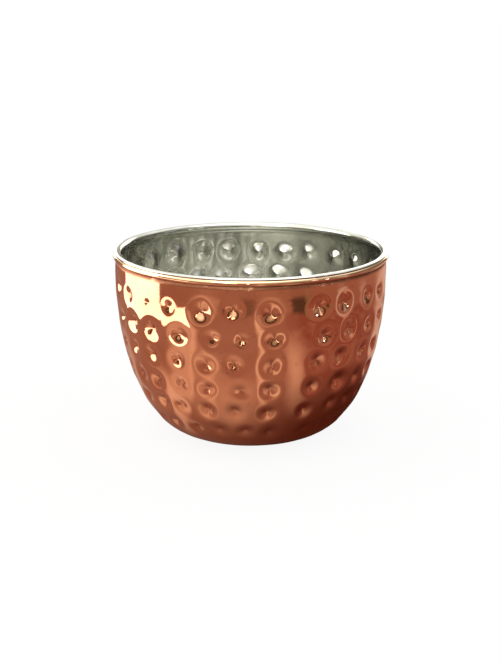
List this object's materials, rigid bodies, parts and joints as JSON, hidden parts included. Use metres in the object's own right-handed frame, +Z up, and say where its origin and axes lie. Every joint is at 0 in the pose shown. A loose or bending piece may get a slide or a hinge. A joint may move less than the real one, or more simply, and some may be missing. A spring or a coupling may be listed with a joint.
{
  "type": "bowl",
  "caption": "Round hammered copper bowl with a stainless steel liner and a rolled wired rim, for serving food.",
  "frame": {"origin": "middle of the flat base, on the surface the bowl stands on", "axes": "+Z up along the bowl's axis of symmetry; +X and +Y lie across the bowl"},
  "size_m": [0.1, 0.1, 0.068],
  "materials": {
    "copper": "hammered, mirror polished and lacquered copper",
    "stainless_steel": "hammered, polished stainless steel",
    "wire_steel": "drawn wire, hidden"
  },
  "bodies": {
    "root": {"copper_shell": "copper", "steel_liner": "stainless_steel", "rim_wire": "wire_steel"}
  },
  "joints": []
}
